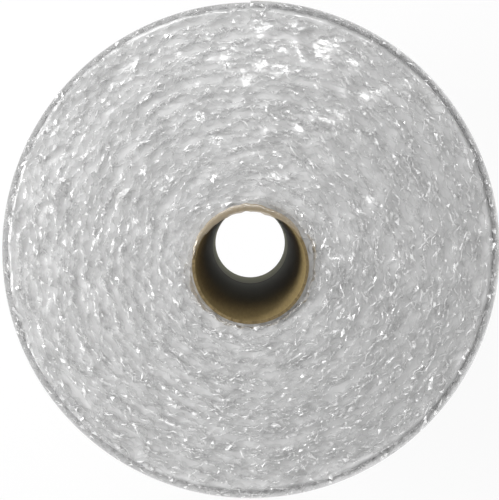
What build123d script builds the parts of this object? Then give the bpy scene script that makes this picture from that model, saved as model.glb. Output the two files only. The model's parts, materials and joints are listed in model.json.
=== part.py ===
"""A roll of bubble cushioning film wound on a spindle core, standing on one end.

Units are millimetres. The core's axis is +Z, the origin is on that axis in the plane of the lower
end, and the roll stands on that end. The wound film is softer on one side than on the other, so its
round outline is centred a little to +Y of the core.
"""

from build123d import *
import os

# Driving dimensions
CORE_BORE = 76.2  # spindle bore of the card tube, 3 in
CORE_WALL = 2.0  # card thickness
CORE_PROUD = 0.0  # how far the core stands out of the film at each end
WEB_WIDTH = 305.0  # slit width of the film, 12 in
ROLL_DIAMETER = 341.4  # over the outermost turn
ROLL_OFFSET = 7.9  # how far the outline's centre lies from the core's axis, towards +Y
FILM_HEIGHT = 4.1  # one turn of film as wound, cells included
FREE_END_HEIGHT = 1.2  # the film's cut end lies flat, because its cells there are open
WIND_CLEARANCE = 0.0  # between the core and the first turn, which is wound tight on it
GAP_WIDTH = 0.7  # the gap that shows between two turns at either end of the roll
GAP_DEPTH = 2.0  # how far in that gap stays open before the cells close it

# What follows from them
CORE_RADIUS = CORE_BORE / 2 + CORE_WALL
CORE_LENGTH = WEB_WIDTH + 2 * CORE_PROUD
WIND_RADIUS = CORE_RADIUS + WIND_CLEARANCE
REACH_UP = ROLL_DIAMETER / 2 + ROLL_OFFSET  # from the core's axis to the outline at +Y
REACH_DOWN = ROLL_DIAMETER / 2 - ROLL_OFFSET  # and at -Y
TURNS = round((ROLL_DIAMETER / 2 - WIND_RADIUS) / FILM_HEIGHT)
FOOT = REACH_UP - FREE_END_HEIGHT  # and at +Y to the turn that the free end lies on
PITCH_UP = (FOOT - WIND_RADIUS) / (TURNS - 1)
PITCH_DOWN = (REACH_DOWN - WIND_RADIUS) / (TURNS - 0.5)


def half_turn(reach_up, reach_down, outbound):
    """A half circle between the Y axis at +reach_up and at -reach_down, both measured from the core's
    axis. The outbound half runs down the -X side, and the other runs back up the +X side."""
    centre = (0, (reach_up - reach_down) / 2)
    radius = (reach_up + reach_down) / 2
    return CenterArc(centre, radius, 90 if outbound else -90, 180)


def outline():
    """The roll's end outline: one whole turn, which steps down at +Y where the film's free end lies."""
    return make_face(
        [
            half_turn(FOOT, REACH_DOWN, outbound=True),
            half_turn(REACH_UP, REACH_DOWN, outbound=False),
            Line((0, REACH_UP), (0, FOOT)),
        ]
    )


def gap_line(shift):
    """The spiral between the turns, moved outwards by shift, as half circles in order. It starts one
    turn above the core and ends at the foot of the free end."""
    arcs = []
    for turn in range(1, TURNS - 1):
        up = WIND_RADIUS + turn * PITCH_UP
        down = WIND_RADIUS + (turn + 0.5) * PITCH_DOWN
        arcs.append(half_turn(up + shift, down + shift, outbound=True))
        arcs.append(half_turn(up + PITCH_UP + shift, down + shift, outbound=False))
    return arcs


def gap_face():
    """The spiral gap between the turns, with the film's inner cut edge, which is a radial slot that
    joins the gap's start to the core."""
    inner, outer = gap_line(-GAP_WIDTH / 2), gap_line(GAP_WIDTH / 2)
    start = Line(inner[0] @ 0, outer[0] @ 0)
    end = Line(inner[-1] @ 1, outer[-1] @ 1)
    spiral = make_face([start, *inner, end, *outer])
    slot_top = WIND_RADIUS + PITCH_UP + GAP_WIDTH / 2
    slot_middle = (WIND_RADIUS + slot_top) / 2
    slot = Pos(-GAP_WIDTH / 2, slot_middle) * Rectangle(GAP_WIDTH, slot_top - WIND_RADIUS)
    return spiral + slot


def bubble_film():
    """All the turns of film as one solid, with the gap open at both ends of the roll."""
    turns = extrude(outline(), WEB_WIDTH)
    turns -= extrude(Circle(WIND_RADIUS), WEB_WIDTH)
    gap = extrude(gap_face(), GAP_DEPTH)
    return turns - gap - Pos(0, 0, WEB_WIDTH - GAP_DEPTH) * gap


def core_tube():
    """The card tube that the film is wound on, cut to length with the film."""
    ring = Circle(CORE_RADIUS) - Circle(CORE_BORE / 2)
    return Pos(0, 0, -CORE_PROUD) * extrude(ring, CORE_LENGTH)


os.makedirs("parts", exist_ok=True)
export_step(core_tube(), "parts/core_tube.step")
export_step(bubble_film(), "parts/bubble_film.step")
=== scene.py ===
"""The looks of a roll of bubble film on a card core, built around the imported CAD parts.

The film is one web of two layers, a flat backing and a layer of cells, wound with its cells inwards.
At both ends of the roll the two layers are made as crumpled strips that follow the spiral of the CAD
part. Round the outside they are flat sheets of cells, which are wound on to the outline.
"""

import json
import math

import bpy
import numpy as np
from mathutils import Matrix, Vector


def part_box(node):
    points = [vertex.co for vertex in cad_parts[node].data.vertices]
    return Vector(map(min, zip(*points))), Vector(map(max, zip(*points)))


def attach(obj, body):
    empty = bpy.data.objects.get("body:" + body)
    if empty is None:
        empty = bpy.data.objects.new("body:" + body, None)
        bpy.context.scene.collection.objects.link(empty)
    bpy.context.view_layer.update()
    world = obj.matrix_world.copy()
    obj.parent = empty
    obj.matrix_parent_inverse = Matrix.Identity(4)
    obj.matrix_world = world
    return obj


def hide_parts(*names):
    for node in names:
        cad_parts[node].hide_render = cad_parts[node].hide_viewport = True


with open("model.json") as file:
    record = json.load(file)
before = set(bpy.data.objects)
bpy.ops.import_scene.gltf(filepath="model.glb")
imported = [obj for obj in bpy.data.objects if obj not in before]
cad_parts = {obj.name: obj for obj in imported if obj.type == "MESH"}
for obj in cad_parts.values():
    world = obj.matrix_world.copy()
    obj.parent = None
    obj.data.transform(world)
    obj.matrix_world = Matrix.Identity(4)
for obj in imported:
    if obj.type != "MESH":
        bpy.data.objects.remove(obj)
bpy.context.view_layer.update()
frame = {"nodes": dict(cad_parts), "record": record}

MM = 0.001

# The film's build, as in the CAD part
TURNS = 32
FREE_END_HEIGHT = 1.2 * MM
CELL_RADIUS = 5.0 * MM
CELL_PITCH = 11.5 * MM
CELL_HEIGHT = 4.0 * MM
ROW_PITCH = CELL_PITCH * math.sqrt(3) / 2

# What the frame says
core_low, core_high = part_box("core_tube")
film_low, film_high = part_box("bubble_film")
BORE_RADIUS = frame["record"]["mounts"][0]["dims"]["r_mm"] * MM
WIND_RADIUS = core_high.x
REACH_UP = film_high.y
REACH_DOWN = -film_low.y
LOWER_END = film_low.z
UPPER_END = film_high.z
WEB_WIDTH = UPPER_END - LOWER_END
PITCH_UP = (REACH_UP - FREE_END_HEIGHT - WIND_RADIUS) / (TURNS - 1)
PITCH_DOWN = (REACH_DOWN - WIND_RADIUS) / (TURNS - 0.5)


# ---------------------------------------------------------------- shape helpers


def waves(seed, x, y=None):
    """Smooth random waves from -1 to 1, about one unit long, at each x or at each x and y."""
    y = np.zeros_like(x) if y is None else y
    rows, columns = int(np.ptp(x)) + 3, int(np.ptp(y)) + 3
    table = np.random.default_rng(seed).uniform(-1, 1, (rows, columns))
    i, fx = np.divmod(x - x.min(), 1)
    j, fy = np.divmod(y - y.min(), 1)
    i, j = i.astype(int), j.astype(int)
    fx, fy = fx * fx * (3 - 2 * fx), fy * fy * (3 - 2 * fy)
    near = table[i, j] * (1 - fx) + table[i + 1, j] * fx
    far = table[i, j + 1] * (1 - fx) + table[i + 1, j + 1] * fx
    return near * (1 - fy) + far * fy


def creases(seed, x):
    """Random folds from -1 to 1, about one unit apart, straight between their creases."""
    count = int(np.ptp(x)) + 3
    values = np.random.default_rng(seed).uniform(-1, 1, count)
    return np.interp(x - x.min(), np.arange(count), values)


def spiral(turn, shift=0.0):
    """Where the backing lies after so many turns from the core's +Y side, moved outwards by shift.
    Each half turn is half a circle, so the line has no corners where its reach changes."""
    turn = np.clip(turn, 0, TURNS - 1e-6)
    whole = np.floor(turn)
    start = np.where(turn - whole < 0.5, whole, whole + 1)
    up = np.where(start < TURNS, WIND_RADIUS + start * PITCH_UP, REACH_UP)
    down = WIND_RADIUS + (whole + 0.5) * PITCH_DOWN
    angle = 2 * math.pi * turn + math.pi / 2
    radius = (up + down) / 2 + shift
    return radius * np.cos(angle), (up - down) / 2 + radius * np.sin(angle), angle


def room(turn):
    """How much room the film has between this turn and the one inside it, or the core."""
    x, y, angle = spiral(turn)
    inner_x, inner_y, angle = spiral(np.maximum(turn - 1, 0))
    inner = np.where(turn < 1, WIND_RADIUS, np.hypot(inner_x, inner_y))
    return np.hypot(x, y) - inner


def turns_along(first, last):
    """The film's length from one turn to another, and a table from length to turn."""
    turn = np.linspace(first, last, int((last - first) * 720) + 2)
    x, y, angle = spiral(turn)
    length = np.concatenate([[0], np.cumsum(np.hypot(np.diff(x), np.diff(y)))])
    return length[-1], length, turn


def dome(distance):
    """How high a cell stands, from 0 at its seal to 1, at this distance from its middle."""
    part = np.clip(distance / CELL_RADIUS, 0, 1)
    return np.sqrt(1 - part**4)


def new_mesh(name, points, faces, materials, uv=None, worn=None, smooth=True):
    """A mesh from arrays of points and of faces with four or three corners. Where it has several
    materials, worn gives the number of the one that each face wears."""
    mesh = bpy.data.meshes.new(name)
    mesh.vertices.add(len(points))
    mesh.vertices.foreach_set("co", np.asarray(points, np.float32).ravel())
    corners = faces.shape[1]
    mesh.loops.add(faces.size)
    mesh.loops.foreach_set("vertex_index", faces.astype(np.int32).ravel())
    mesh.polygons.add(len(faces))
    mesh.polygons.foreach_set("loop_start", np.arange(0, faces.size, corners, dtype=np.int32))
    mesh.polygons.foreach_set("use_smooth", np.full(len(faces), smooth))
    mesh.update(calc_edges=True)
    if uv is not None:
        layer = mesh.uv_layers.new(name="OFBake")
        layer.uv.foreach_set("vector", np.asarray(uv, np.float32).ravel())
    for material in materials:
        mesh.materials.append(material)
    if worn is not None:
        mesh.polygons.foreach_set("material_index", worn.astype(np.int32))
    piece = bpy.data.objects.new(name, mesh)
    bpy.context.collection.objects.link(piece)
    return piece


def grid_faces(columns, rows, first=0):
    """Four-cornered faces of a grid whose points are numbered row by row within each column."""
    column = np.arange(columns - 1)[:, None]
    row = np.arange(rows - 1)[None, :]
    start = (column * rows + row).ravel() + first
    return np.stack([start, start + rows, start + rows + 1, start + 1], 1)


# ---------------------------------------------------------------- materials


def nodes_of(name):
    """A new node material, with its nodes, its links and its shader."""
    material = bpy.data.materials.new(name)
    material.use_nodes = True
    tree = material.node_tree
    return material, tree.nodes, tree.links, tree.nodes["Principled BSDF"]


def ramp_between(nodes, low, high):
    """A colour ramp with two stops, each a place and a colour."""
    ramp = nodes.new("ShaderNodeValToRGB")
    for stop, (place, colour) in zip(ramp.color_ramp.elements, (low, high)):
        stop.position = place
        stop.color = (*colour, 1)
    return ramp


def wound_place(nodes, links, around, up, out):
    """Coordinates that follow the turns: so many waves around the roll, and per metre up and out of it."""
    place = nodes.new("ShaderNodeTexCoord")
    level = nodes.new("ShaderNodeVectorMath")
    level.operation = "MULTIPLY"
    level.inputs[1].default_value = (1, 1, 0)
    links.new(place.outputs["Object"], level.inputs[0])
    reach = nodes.new("ShaderNodeVectorMath")
    reach.operation = "LENGTH"
    links.new(level.outputs["Vector"], reach.inputs[0])
    heading = nodes.new("ShaderNodeVectorMath")
    heading.operation = "NORMALIZE"
    links.new(level.outputs["Vector"], heading.inputs[0])
    ring = nodes.new("ShaderNodeVectorMath")
    ring.operation = "SCALE"
    ring.inputs["Scale"].default_value = around
    links.new(heading.outputs["Vector"], ring.inputs[0])
    lift = nodes.new("ShaderNodeVectorMath")
    lift.operation = "MULTIPLY_ADD"
    lift.inputs[1].default_value = (0, 0, up)
    links.new(place.outputs["Object"], lift.inputs[0])
    links.new(ring.outputs["Vector"], lift.inputs[2])
    outward = nodes.new("ShaderNodeMath")
    outward.operation = "MULTIPLY"
    outward.inputs[1].default_value = out
    links.new(reach.outputs["Value"], outward.inputs[0])
    return lift.outputs["Vector"], outward.outputs["Value"]


def wound_noise(nodes, links, around, up, out, kind="FBM", detail=2.0):
    """Noise drawn out along the turns."""
    noise = nodes.new("ShaderNodeTexNoise")
    noise.noise_dimensions = "4D"
    noise.noise_type = kind
    noise.inputs["Scale"].default_value = 1
    noise.inputs["Detail"].default_value = detail
    vector, outward = wound_place(nodes, links, around, up, out)
    links.new(vector, noise.inputs["Vector"])
    links.new(outward, noise.inputs["W"])
    return noise


def film_material(name, alpha, tone, bump, roughness=(0.08, 0.25), tint=(1, 1, 1), haze_depth=0.06):
    """Clear polyethylene film: hazy, glossy and finely creased along the turns."""
    material, nodes, links, shader = nodes_of(name)
    shader.inputs["Alpha"].default_value = alpha
    shader.inputs["IOR"].default_value = 1.6
    shader.inputs["Specular IOR Level"].default_value = 1.0

    haze = wound_noise(nodes, links, 14, 120, 150)
    tone = tuple(tone * part for part in tint)
    dark = tuple(part * (1 - haze_depth) for part in tone)
    colours = ramp_between(nodes, (0.35, dark), (0.65, tone))
    links.new(haze.outputs["Fac"], colours.inputs["Fac"])
    links.new(colours.outputs["Color"], shader.inputs["Base Color"])

    wear = nodes.new("ShaderNodeMapRange")
    wear.inputs["To Min"].default_value, wear.inputs["To Max"].default_value = roughness
    links.new(haze.outputs["Fac"], wear.inputs["Value"])
    links.new(wear.outputs["Result"], shader.inputs["Roughness"])

    folds = wound_noise(nodes, links, 38, 480, 620, detail=2)
    relief = nodes.new("ShaderNodeBump")
    relief.inputs["Strength"].default_value = bump
    relief.inputs["Distance"].default_value = 1.0 * MM
    links.new(folds.outputs["Fac"], relief.inputs["Height"])
    links.new(relief.outputs["Normal"], shader.inputs["Normal"])
    return material


def maths(nodes, links, operation, *values):
    """A maths node's result. Each value is a number or another node's output."""
    node = nodes.new("ShaderNodeMath")
    node.operation = operation
    for socket, value in zip(node.inputs, values):
        if isinstance(value, bpy.types.NodeSocket):
            links.new(value, socket)
        else:
            socket.default_value = value
    return node.outputs[0]


def blend_colours(nodes, links, factor, first, second, kind="MIX"):
    """A mix node's result. Each colour is a triple or another node's output."""
    mix = nodes.new("ShaderNodeMix")
    mix.data_type = "RGBA"
    mix.blend_type = kind
    links.new(factor, mix.inputs["Factor"])
    for socket, colour in (("A", first), ("B", second)):
        place = next(one for one in mix.inputs if one.name == socket and one.type == "RGBA")
        if isinstance(colour, bpy.types.NodeSocket):
            links.new(colour, place)
        else:
            place.default_value = (*colour, 1)
    return next(one for one in mix.outputs if one.type == "RGBA")


LIT_BAND_HEIGHT = 65 * MM  # how far up the pale grey band of painted light at the bottom of the bore reaches
SHADE_FADE_HEIGHT = 215 * MM  # where the rest of the bore's painted shade has turned from dark grey to the card's brown


def card_material():
    """Kraft card: brown, matt and fibrous. It is darker on its cut ends. In the bore it has painted shade, dark
    grey deep down and brown towards the top, then a pale grey band of painted light at the bottom, up to a dark
    line, and a dark band of painted shadow where the bore meets the floor."""
    material, nodes, links, shader = nodes_of("card")
    shader.inputs["Specular IOR Level"].default_value = 0.3
    shader.inputs["Roughness"].default_value = 0.85
    fibre = wound_noise(nodes, links, 30, 90, 300, detail=5)
    wall = ramp_between(nodes, (0.3, (0.215, 0.158, 0.066)), (0.7, (0.285, 0.215, 0.094)))
    cut = ramp_between(nodes, (0.35, (0.10, 0.072, 0.03)), (0.65, (0.22, 0.165, 0.08)))
    for ramp in (wall, cut):
        links.new(fibre.outputs["Fac"], ramp.inputs["Fac"])

    place = nodes.new("ShaderNodeTexCoord")
    axes = nodes.new("ShaderNodeSeparateXYZ")
    links.new(place.outputs["Object"], axes.inputs[0])
    z = axes.outputs["Z"]
    # Painted light: a pale grey band at the bottom of the bore.
    low = maths(nodes, links, "LESS_THAN", z, LIT_BAND_HEIGHT)
    # Painted shade: the bore is dark grey deep down and turns to the card's brown towards the top.
    shade_faded = maths(nodes, links, "DIVIDE", z, SHADE_FADE_HEIGHT)
    shade_faded = maths(nodes, links, "MINIMUM", maths(nodes, links, "POWER", shade_faded, 3.0), 1.0)
    colour = blend_colours(nodes, links, shade_faded, (0.11, 0.11, 0.075), wall.outputs["Color"])
    colour = blend_colours(nodes, links, low, colour, (0.27, 0.27, 0.19))
    # A dark line along the top of the pale band of painted light.
    above_line = maths(nodes, links, "SUBTRACT", z, LIT_BAND_HEIGHT)
    line = maths(nodes, links, "LESS_THAN", maths(nodes, links, "ABSOLUTE", above_line), 2.5 * MM)
    # Painted shadow: a dark band at the bottom of the bore, where it meets the floor.
    rim = maths(nodes, links, "LESS_THAN", z, 2.5 * MM)
    dark = maths(nodes, links, "MAXIMUM", line, rim)
    colour = blend_colours(nodes, links, dark, colour, (0.07, 0.055, 0.03))

    facing = nodes.new("ShaderNodeNewGeometry")
    part = nodes.new("ShaderNodeSeparateXYZ")
    links.new(facing.outputs["True Normal"], part.inputs[0])
    level = maths(nodes, links, "ABSOLUTE", part.outputs["Z"])
    colour = blend_colours(nodes, links, level, colour, cut.outputs["Color"])
    links.new(colour, shader.inputs["Base Color"])
    relief = nodes.new("ShaderNodeBump")
    relief.inputs["Strength"].default_value = 0.4
    relief.inputs["Distance"].default_value = 0.3 * MM
    links.new(fibre.outputs["Fac"], relief.inputs["Height"])
    links.new(relief.outputs["Normal"], shader.inputs["Normal"])
    return material


def seen_directly(nodes, links):
    """1 for what the camera sees directly, in a reflection or through something clear, and 0 elsewhere."""
    path = nodes.new("ShaderNodeLightPath")
    last = path.outputs["Is Camera Ray"]
    for kind in ("Is Glossy Ray", "Is Transmission Ray"):
        either = nodes.new("ShaderNodeMath")
        either.operation = "MAXIMUM"
        links.new(last, either.inputs[0])
        links.new(path.outputs[kind], either.inputs[1])
        last = either.outputs[0]
    return last


def floor_material(name, share):
    """A white floor. Where it is seen, this share of it is plain white, and the rest takes the light."""
    material, nodes, links, shader = nodes_of(name)
    shader.inputs["Base Color"].default_value = (0.85, 0.85, 0.85, 1)
    shader.inputs["Roughness"].default_value = 0.9
    shader.inputs["Specular IOR Level"].default_value = 0.1
    glowing = nodes.new("ShaderNodeMath")
    glowing.operation = "MULTIPLY"
    glowing.inputs[1].default_value = share
    links.new(seen_directly(nodes, links), glowing.inputs[0])
    glow = nodes.new("ShaderNodeEmission")
    mix = nodes.new("ShaderNodeMixShader")
    links.new(glowing.outputs[0], mix.inputs["Fac"])
    links.new(shader.outputs["BSDF"], mix.inputs[1])
    links.new(glow.outputs["Emission"], mix.inputs[2])
    output = next(node for node in nodes if node.type == "OUTPUT_MATERIAL")
    links.new(mix.outputs["Shader"], output.inputs["Surface"])
    return material


# ---------------------------------------------------------------- the film at the roll's ends

FREE_MARGIN = 6.0 * MM  # how much of the strip can lean over at a cut edge

# The strips' points inwards from the cut edge and across one cell, finer at the end that shows
STRIP_ROWS = {
    "upper": np.array([0, 0.6, 1.8, 3.6, 6.2, 10.0]) * MM,
    "lower": np.array([0, 1.2, 3.6, 8.0]) * MM,
}
CELL_COLUMNS = {
    "upper": np.array([-5, -4.2, -2.3, 0, 2.3, 4.2, 5]) * MM,
    "lower": np.array([-5, -2.8, 0, 2.8]) * MM,
}
CLEAR, EDGE_HIGHLIGHT, TINTED = 0, 1, 2  # the places of a strip's materials; the second paints highlights along cut edges


def lean_of(seed, length, turn):
    """How far the cut margin leans outwards at each place, in radians, with sharp creases along it."""
    lean = 0.75 * (creases(seed, length / (9 * MM)) + waves(seed + 1, length / (19 * MM)))
    lean += 0.6 * creases(seed + 2, length / (3.5 * MM))
    outermost = np.clip(turn - (TURNS - 2), 0, 1)
    lean = lean * (1 - outermost) - 0.35 * np.abs(lean) * outermost
    innermost = np.clip(1.5 - turn, 0, 1)
    heading = (turn + 0.25) % 1
    over_card = np.where((heading > 0.08) & (heading < 0.5), -0.35, 1)
    return lean * (1 - innermost) + 0.8 * np.abs(lean) * innermost * over_card


def leaning_strip(seed, length, turn, rows):
    """The backing's cut margin, as the outward shift, depth and lean of each point. Rows count from
    the cut edge. The lean grows towards the edge, and differs from place to place."""
    lean = lean_of(seed, length, turn)
    height = 1.2 * MM * waves(seed + 3, length / (22 * MM)) + 0.5 * MM * creases(seed + 4, length / (3 * MM))
    shift = np.zeros((len(length), len(rows)))
    depth = np.zeros_like(shift)
    angle = np.zeros_like(shift)
    depth[:, -1] = rows[-1]
    for row in range(len(rows) - 2, -1, -1):
        run = rows[row + 1] - rows[row]
        share = max(0, 1 - (rows[row] + rows[row + 1]) / 2 / FREE_MARGIN)
        bend = lean * share**0.8
        shift[:, row] = shift[:, row + 1] + run * np.sin(bend)
        depth[:, row] = depth[:, row + 1] - run * np.cos(bend)
        angle[:, row] = bend
    near_edge = np.clip(1 - rows / rows[-1], 0, 1)
    depth += height[:, None] * near_edge + 0.8 * MM
    return shift, np.maximum(depth, -1.5 * MM), angle


def drift(seed, turn):
    """How far the crumpled turns wander outwards at each place, much the same for neighbouring turns."""
    x, y, angle = spiral(turn)
    wander = 0.9 * MM * waves(seed, x / (20 * MM), y / (20 * MM))
    return wander * np.clip((turn - 1) / 3, 0, 1) * np.clip((TURNS - 1 - turn) / 3, 0, 1)


def cell_heights(seed, length, rows):
    """How far each point of the cell layer stands off the backing, as a share of a cell's height."""
    cell = np.round(length / CELL_PITCH).astype(int)
    offset = 1.5 * MM * waves(seed + 5, length / 0.4)
    random = np.random.default_rng(seed + 6).uniform(0.45, 1.1, (cell.max() + 2, 2))
    total = np.zeros((len(length), len(rows)))
    for line in (0, 1):
        stagger = 0.5 * line
        index = np.round(length / CELL_PITCH - stagger).astype(int)
        along = (length - (index + stagger) * CELL_PITCH)[:, None]
        down = rows[None, :] - (line * ROW_PITCH + offset[:, None] + 1 * MM)
        rise = dome(np.hypot(along, down)) * random[index, line][:, None]
        total = np.maximum(total, rise)
    return total


def on_end(end, turn, outward, below):
    """Points of film at one end of the roll, so far outwards from the spiral and below its end."""
    x, y, angle = spiral(turn, outward)
    z = UPPER_END - below if end == "upper" else LOWER_END + np.maximum(below, 0.1 * MM)
    return np.stack([x, y, np.broadcast_to(z, x.shape)], -1)


def end_strips(seed, end, materials):
    """The two layers of film at one end of the roll. Gives the backing's cut edge, as the length,
    turn, outward shift and depth of its points."""
    rows, columns = STRIP_ROWS[end], CELL_COLUMNS[end]
    full, lengths, turns = turns_along(0, TURNS)
    count = int(full / CELL_PITCH)
    length = ((np.arange(count) + 0.5)[:, None] * CELL_PITCH + columns[None, :]).ravel()
    turn = np.interp(length, lengths, turns)
    shift, depth, angle = leaning_strip(seed, length, turn, rows)
    gap = room(turn)[:, None]
    wobble = 0.4 * MM * waves(seed + 7, length / (9 * MM)) * (turn < TURNS - 1.2) * (turn > 1)
    loose = np.clip(1.4 - rows / (7 * MM), 0, 1)
    shift = shift + (drift(seed + 8, turn) + wobble)[:, None] * loose - 0.25 * MM * (turn > TURNS - 1)[:, None]
    cells = cell_heights(seed, length - length.min(), rows) * np.clip(gap - 0.3 * MM, 0, CELL_HEIGHT)
    faces = grid_faces(len(length), len(rows))
    uv = strip_map(turn, len(rows), 0, TURNS)
    for layer, rise in {"backing": 0.0, "cells": 0.15 * MM + cells}.items():
        points = on_end(end, turn[:, None], shift - rise * np.cos(angle), depth - rise * np.sin(angle))
        worn = np.zeros((len(length) - 1, len(rows) - 1), int)
        # Painted highlight: runs of the cut edge's first row wear whiter, denser film, as bright lines along the
        # edge.
        worn[:, 0] = waves(seed + 9 + len(layer), length[1:] / (4 * MM)) > 0.45
        if layer == "backing":
            worn[turn[1:] < 1] = TINTED
        piece = new_mesh(f"{end}_{layer}", points.reshape(-1, 3), faces, materials, uv, worn.ravel(), smooth=False)
        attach(piece, "root")
        if layer == "backing":
            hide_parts("bubble_film")
    return length, turn, shift[:, 0], depth[:, 0]


# A folded scrap's points along and across it, and its four facets
SCRAP = np.array([(-1, 0), (-0.3, 1), (-0.3, -1), (0.35, 0.9), (0.35, -0.9), (1, 0)])
FACETS = np.array([(0, 2, 1), (1, 2, 4), (1, 4, 3), (3, 4, 5)])


def scraps(name, seed, end, edge, spacing, half_lengths, half_widths, shares, materials):
    """Folded scraps of the cut cells, which lie along the cut edge. Each is a lens of four flat facets,
    and each facet wears one of the materials, in these shares."""
    random = np.random.default_rng(seed)
    length, turn, outward, below = edge
    count = int(length[-1] / spacing)
    place = (np.arange(count) + random.uniform(0.1, 0.9, count)) * spacing
    place = np.clip(place, length[0] + 8 * MM, length[-1] - 8 * MM)
    size = np.stack([random.uniform(*half_lengths, count), random.uniform(*half_widths, count)], -1)
    shape = (SCRAP + random.uniform(-0.3, 0.3, (count, 6, 2))) * size[:, None]
    lift = random.uniform(-0.6, 0.6, (count, 6)) * size[:, 1:]
    yaw = random.normal(0, 0.45, (count, 1))
    tilt = random.normal(0, 0.4, (count, 1))
    along = shape[..., 0] * np.cos(yaw) - shape[..., 1] * np.sin(yaw)
    across = shape[..., 0] * np.sin(yaw) + shape[..., 1] * np.cos(yaw)
    turn = np.interp(place, length, turn)[:, None]
    out = np.interp(place, length, outward)[:, None] + across * np.cos(tilt)
    out = np.where(turn > TURNS - 1.1, np.minimum(out, -0.3 * MM), out)
    out = np.where(turn < 1.2, np.maximum(out, -0.4 * MM), out)
    down = np.interp(place, length, below)[:, None] - across * np.sin(tilt) - lift
    points = on_end(end, turn, out, np.maximum(down, -1.8 * MM))
    angle = 2 * math.pi * turn + math.pi / 2
    points[..., 0] -= along * np.sin(angle)
    points[..., 1] += along * np.cos(angle)
    faces = (FACETS[None] + 6 * np.arange(count)[:, None, None]).reshape(-1, 3)
    # Facets that wear the whiter films stand for glints: painted highlights.
    worn = random.choice(len(materials), len(faces), p=shares)
    piece = new_mesh(name, points.reshape(-1, 3), faces, materials, tile_map(len(faces)), worn, smooth=False)
    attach(piece, "root")


def rim_fold(material):
    """Film from the innermost turn, folded over the back of the core's rim."""
    columns, rows = 160, 7
    heading = np.linspace(math.radians(28), math.radians(172), columns)
    share = np.sin(math.pi * np.linspace(0, 1, columns)) ** 0.6
    part = np.linspace(-1, 1, rows)
    ragged = 0.6 * MM * creases(81, np.linspace(0, 28, columns)) + 0.5 * MM * waves(82, np.linspace(0, 9, columns))
    wall = WIND_RADIUS - BORE_RADIUS
    middle = WIND_RADIUS - wall / 2 + 0.6 * MM
    half = 0.2 * MM + (wall / 2 + 1.6 * MM) * share
    radius = (middle + ragged * share)[:, None] + half[:, None] * part
    crumple = 0.35 * MM * creases(83, np.linspace(0, 40, columns))[:, None] * (1 - np.abs(part))
    height = 0.7 * MM - 0.6 * MM * np.abs(part) ** 3 + np.abs(crumple)
    x, y = radius * np.cos(heading)[:, None], radius * np.sin(heading)[:, None]
    points = np.stack([x, y, UPPER_END + height * np.ones_like(x)], -1).reshape(-1, 3)
    faces = grid_faces(columns, rows)
    piece = new_mesh("rim_fold", points, faces, [material], smooth=False)
    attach(piece, "root")


def tile_map(count):
    """A map for baking separate triangles, with one tile for each."""
    side = math.ceil(math.sqrt(count))
    column, row = np.divmod(np.arange(count), side)
    tile = np.stack([column, row], -1)[:, None]
    return (tile + np.array([(0.1, 0.1), (0.9, 0.1), (0.5, 0.9)])) / side


def strip_map(turn, rows, first, last):
    """A map for baking, with one band for each turn."""
    bands = math.ceil(last) - math.floor(first)
    start = turn[:-1]
    band = np.floor(start) - math.floor(first)
    left = start - np.floor(start)
    right = left + np.diff(turn)
    row = np.arange(rows - 1)
    low = (band[:, None] + 0.05 + 0.9 * row / (rows - 1)) / bands
    high = (band[:, None] + 0.05 + 0.9 * (row + 1) / (rows - 1)) / bands
    left = np.broadcast_to(left[:, None] * 0.99, low.shape)
    right = np.broadcast_to(right[:, None] * 0.99, low.shape)
    corners = [(left, low), (right, low), (right, high), (left, high)]
    return np.stack([np.stack(corner, -1) for corner in corners], 2)


# ---------------------------------------------------------------- the film round the outside

OUTER_DEPTH = 4.2 * MM
SPOKES = 12  # points round each cell


def flat_cells(rings, start, stop):
    """A flat sheet of cells cut to size, as points along and across it and faces. Each cell is a fan with
    these rings, as shares of its radius, inside a hexagon that it shares with its neighbours."""
    spoke = np.arange(SPOKES)
    angle = 2 * math.pi * spoke / SPOKES
    edge = np.where(spoke % 2, CELL_PITCH / math.sqrt(3), CELL_PITCH / 2)
    reaches = [np.zeros(1)] + [np.full(SPOKES, ring * CELL_RADIUS) for ring in rings] + [edge]
    angles = [np.zeros(1)] + [angle] * (len(rings) + 1)
    reach, angle = np.concatenate(reaches), np.concatenate(angles)
    one = np.stack([reach * np.cos(angle), reach * np.sin(angle)], -1)

    following = (spoke + 1) % SPOKES
    faces = [np.stack([0 * spoke, 1 + spoke, 1 + following], -1)]
    for ring in range(len(rings)):
        inner, outer = 1 + ring * SPOKES, 1 + (ring + 1) * SPOKES
        faces.append(np.stack([inner + spoke, outer + spoke, outer + following], -1))
        faces.append(np.stack([inner + spoke, outer + following, inner + following], -1))
    faces = np.concatenate(faces)

    first, last = math.floor(start / CELL_PITCH) - 1, math.ceil(stop / CELL_PITCH) + 1
    column, row = np.meshgrid(np.arange(first, last), np.arange(-1, int(WEB_WIDTH / ROW_PITCH) + 3))
    middle = np.stack([(column + 0.5 * (row % 2)) * CELL_PITCH, row * ROW_PITCH], -1).reshape(-1, 1, 2)
    points = (middle + one).reshape(-1, 2)
    points = np.clip(points, (start, 0), (stop, WEB_WIDTH))
    count = len(middle)
    faces = (faces[None] + len(one) * np.arange(count)[:, None, None]).reshape(-1, 3)
    rounded, kept, again = np.unique(
        np.round(points / (0.01 * MM)).astype(int), axis=0, return_index=True, return_inverse=True
    )
    points, faces = points[kept], again.reshape(-1)[faces]
    side, other = points[faces[:, 1]] - points[faces[:, 0]], points[faces[:, 2]] - points[faces[:, 0]]
    area = np.abs(side[:, 0] * other[:, 1] - side[:, 1] * other[:, 0])
    return points, faces[area > (0.02 * MM) ** 2]


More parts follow.
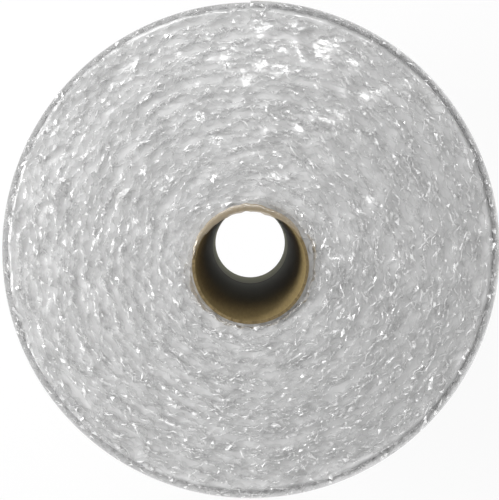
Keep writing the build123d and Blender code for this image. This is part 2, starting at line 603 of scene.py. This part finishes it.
def outer_sheet(name, rings, first, last, rise, set_in, materials):
    """One layer of the outermost turn: a flat lattice of cells, cut to size and wound on. The seal
    between the cells wears the second material, except near the ends."""
    full, lengths, turns = turns_along(TURNS - 1, TURNS)
    start, stop = np.interp((first, last), turns, lengths)
    points, faces = flat_cells(rings, start, stop)
    along, across = points.T
    middle = points[faces].mean(1).T
    sealed = (lattice(*middle, lambda distance: 1 - distance) == 0) & (middle[1] > 6 * MM) & (middle[1] < WEB_WIDTH - 6 * MM)
    turn = np.interp(along, lengths, turns)
    margin = np.minimum(across, WEB_WIDTH - across)
    inside = np.clip(margin / (7 * MM), 0, 1)
    depth = np.minimum(room(turn) - 0.7 * MM, abs(rise))
    profile = (lambda distance: 1 - distance**2) if rise > 0 else (lambda distance: np.sqrt(1 - distance**4))
    height = lattice(along, across, profile) * np.sign(rise) * depth * inside
    relief = 0.6 * MM * waves(71, along / 0.04, across / 0.09) - 0.3 * MM
    relief = relief + 0.25 * MM * waves(72, along / 0.012, across / 0.03)
    x, y, around = spiral(turn, height + (relief - 0.8 * MM) * inside + set_in)
    z = LOWER_END + across
    piece = new_mesh(name, np.stack([x, y, z], -1), faces, materials, worn=sealed)
    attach(piece, "root")
    return piece


def lattice(along, across, profile):
    """The rise, 0 to 1, of the hexagonal lattice of cells at each point of a flat sheet. Some cells
    stand lower than others."""
    firmness = np.random.default_rng(75).uniform(0.55, 1.0, (200, 200))
    total = np.zeros_like(along)
    line = np.round(across / ROW_PITCH)
    for near in (-1, 0, 1):
        row = line + near
        stagger = 0.5 * (row % 2)
        cell = np.round(along / CELL_PITCH - stagger)
        distance = np.hypot(along - (cell + stagger) * CELL_PITCH, across - row * ROW_PITCH)
        firm = firmness[cell.astype(int) % 200, row.astype(int) % 200]
        total = np.maximum(total, firm * profile(np.clip(distance / CELL_RADIUS, 0, 1)))
    return total


# ---------------------------------------------------------------- the inner turns


def inner_turns(material):
    """The turns further in than the cut edges, as one hazy mass that shows through the film."""
    around = 200
    across = 48
    depth = 4.2 * MM
    angle = np.linspace(0, 2 * math.pi, around, endpoint=False)
    part = np.linspace(0, 1, across)
    outline_centre = (REACH_UP - REACH_DOWN) / 2
    outline_radius = (REACH_UP + REACH_DOWN) / 2 - OUTER_DEPTH
    inner = np.stack([np.cos(angle), np.sin(angle)], -1) * (WIND_RADIUS + 0.2 * MM)
    outer = np.stack([np.cos(angle), np.sin(angle)], -1) * outline_radius + (0, outline_centre)
    flat = inner[:, None] * (1 - part[:, None]) + outer[:, None] * part[:, None]
    bumps = 1.0 * MM * waves(91, flat[..., 0] / (8 * MM), flat[..., 1] / (8 * MM))
    bumps = bumps + 2 * MM * np.clip((part - 0.95) / 0.05, 0, 1)
    upper = np.concatenate([flat, (UPPER_END - depth + bumps)[..., None]], -1)
    lower = np.concatenate([flat, (LOWER_END + depth - bumps)[..., None]], -1)
    rings = np.concatenate([upper, lower[:, ::-1]], 1)
    rings = np.concatenate([rings, rings[:1]], 0)
    faces = grid_faces(around + 1, across * 2)
    piece = new_mesh("inner_turns", rings.reshape(-1, 3), faces, [material])
    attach(piece, "root")
    return piece


# ---------------------------------------------------------------- studio


def lamp(name, place, size, energy, height=UPPER_END):
    """A square lamp that points at the roll's axis, at this height, and isn't seen itself."""
    data = bpy.data.lights.new(name, "AREA")
    data.shape = "SQUARE"
    data.size = size
    data.energy = energy
    seat = bpy.data.objects.new(name, data)
    seat.location = place
    aim = Vector((0, 0, height)) - seat.location
    seat.rotation_euler = aim.to_track_quat("-Z", "Y").to_euler()
    seat.visible_camera = False
    bpy.context.collection.objects.link(seat)
    return seat


def studio():
    """The floor, the lamps and the world."""
    reach = 4.0
    points = np.array([(-reach, -reach, 0), (reach, -reach, 0), (reach, reach, 0), (-reach, reach, 0)])
    floor = new_mesh("floor", points, np.array([[0, 1, 2, 3]]), [floor_material("floor", 0.92)])
    angle = np.linspace(0, 2 * math.pi, 64, endpoint=False)
    ring = np.stack([np.cos(angle), np.sin(angle), 0 * angle], -1) * (BORE_RADIUS + 0.5 * MM)
    ring[:, 2] = 0.1 * MM
    patch = new_mesh("bore_floor", ring, np.arange(64)[None], [floor_material("bore_floor", 1.0)])

    lamp("key", (-0.3, 0.75, UPPER_END + 0.75), 0.5, 3.6)
    lamp("side_window", (-0.62, 0.1, UPPER_END + 0.36), 0.3, 4.8)
    glow = lamp("bore_glow", (0, 0, 1 * MM), 0.06, 0.009)
    glow.data.shape = "DISK"
    lamp("left_spark", (-1.2, -0.7, 0.75), 0.12, 1.6)
    lamp("right_spark", (1.1, 0.9, 0.8), 0.12, 1.4)
    lamp("front_spark", (0.5, -1.3, 0.7), 0.12, 1.4)
    lamp("top_spark", (0.1, 0.5, UPPER_END + 1.2), 0.1, 1.0)

    for side, heading in enumerate((-70, 20, 110, 200)):
        heading = math.radians(heading)
        place = (1.7 * math.cos(heading), 1.7 * math.sin(heading), 0.22)
        lamp(f"side_fill_{side}", place, 0.6, 5.5, height=0.15)

    world = bpy.data.worlds.new("world")
    bpy.context.scene.world = world
    world.use_nodes = True
    nodes, links = world.node_tree.nodes, world.node_tree.links
    light = nodes["Background"]
    light.inputs["Color"].default_value = (1, 1, 1, 1)
    place = nodes.new("ShaderNodeTexCoord")
    towards = nodes.new("ShaderNodeVectorMath")
    towards.operation = "DOT_PRODUCT"
    towards.inputs[1].default_value = Vector((-0.4, 0.6, 0.7)).normalized()
    links.new(place.outputs["Generated"], towards.inputs[0])
    sky = nodes.new("ShaderNodeMapRange")
    sky.inputs["From Min"].default_value = -1
    sky.inputs["To Min"].default_value = 0.14
    sky.inputs["To Max"].default_value = 0.4
    links.new(towards.outputs["Value"], sky.inputs["Value"])
    level = nodes.new("ShaderNodeMath")
    level.operation = "MAXIMUM"
    links.new(seen_directly(nodes, links), level.inputs[0])
    links.new(sky.outputs["Result"], level.inputs[1])
    links.new(level.outputs[0], light.inputs["Strength"])


def camera():
    """Looks down into the core from half a metre above the roll, a little off its axis."""
    data = bpy.data.cameras.new("camera")
    data.sensor_width = 36
    data.lens = 52.64
    data.clip_start = 0.01
    seat = bpy.data.objects.new("camera", data)
    tilt = math.radians(3.573)
    ahead = Vector((0, -math.sin(tilt), -math.cos(tilt)))
    above = Vector((0, math.cos(tilt), -math.sin(tilt)))
    side = ahead.cross(above)
    turn = Matrix((side, above, -ahead)).transposed()
    place = Vector((-0.7 * MM, 42.28 * MM, UPPER_END + 499.43 * MM))
    seat.matrix_world = Matrix.Translation(place) @ turn.to_4x4()
    bpy.context.collection.objects.link(seat)
    bpy.context.scene.camera = seat


camera()
studio()

clear_film = film_material("clear_film", 0.25, 0.6, 0.14)
# Whiter, denser film that paints highlights along the strips' cut edges.
edge_highlight_film = film_material("edge_highlight_film", 0.7, 0.88, 0.1)
tinted_film = film_material("tinted_film", 0.55, 0.55, 0.1, tint=(0.8, 0.66, 0.44))
sealed_film = film_material("sealed_film", 0.6, 0.8, 0.25)
outer_clear_film = film_material("outer_clear_film", 0.45, 0.62, 0.25)
hazy_mass = film_material("hazy_mass", 1.0, 0.61, 0.12, haze_depth=0.12)
# Painted highlights: scrap facets in these two films are whiter and denser, for bright and soft glints.
bright_glint_scrap = film_material("bright_glint_scrap", 0.95, 0.95, 0.15)
soft_glint_scrap = film_material("soft_glint_scrap", 0.45, 0.85, 0.15)

strip_films = [clear_film, edge_highlight_film, tinted_film]
scrap_films = [clear_film, soft_glint_scrap, bright_glint_scrap]
for end, seed in {"upper": 10, "lower": 40}.items():
    edge = end_strips(seed, end, strip_films)
    scraps(f"{end}_scraps", seed + 20, end, edge, 14 * MM, (1.8 * MM, 5.0 * MM), (0.5 * MM, 1.6 * MM),
           (0.62, 0.26, 0.12), scrap_films)
    scraps(f"{end}_slivers", seed + 21, end, edge, 5 * MM, (0.8 * MM, 3.4 * MM), (0.12 * MM, 0.45 * MM),
           (0.5, 0.3, 0.2), scrap_films)
rim_fold(film_material("rim_film", 0.8, 0.36, 0.15, tint=(0.8, 0.62, 0.36)))
outer_films = [outer_clear_film, sealed_film]
for side, first in {"left": TURNS - 1, "right": TURNS - 0.5}.items():
    last = first + 0.5
    outer_sheet(f"outer_backing_{side}", (0.4, 0.75, 1.0), first, last, 1.1 * MM, 0.0, outer_films)
    outer_sheet(f"outer_cells_{side}", (0.5, 0.86, 1.0), first, last, -2.5 * MM, -0.3 * MM, outer_films)
inner_turns(hazy_mass)

card = card_material()
for node in ("core_tube",):
    slots = frame["nodes"][node].material_slots
    for slot in slots:
        slot.material = card

scene = bpy.context.scene
scene.view_settings.view_transform = "Standard"
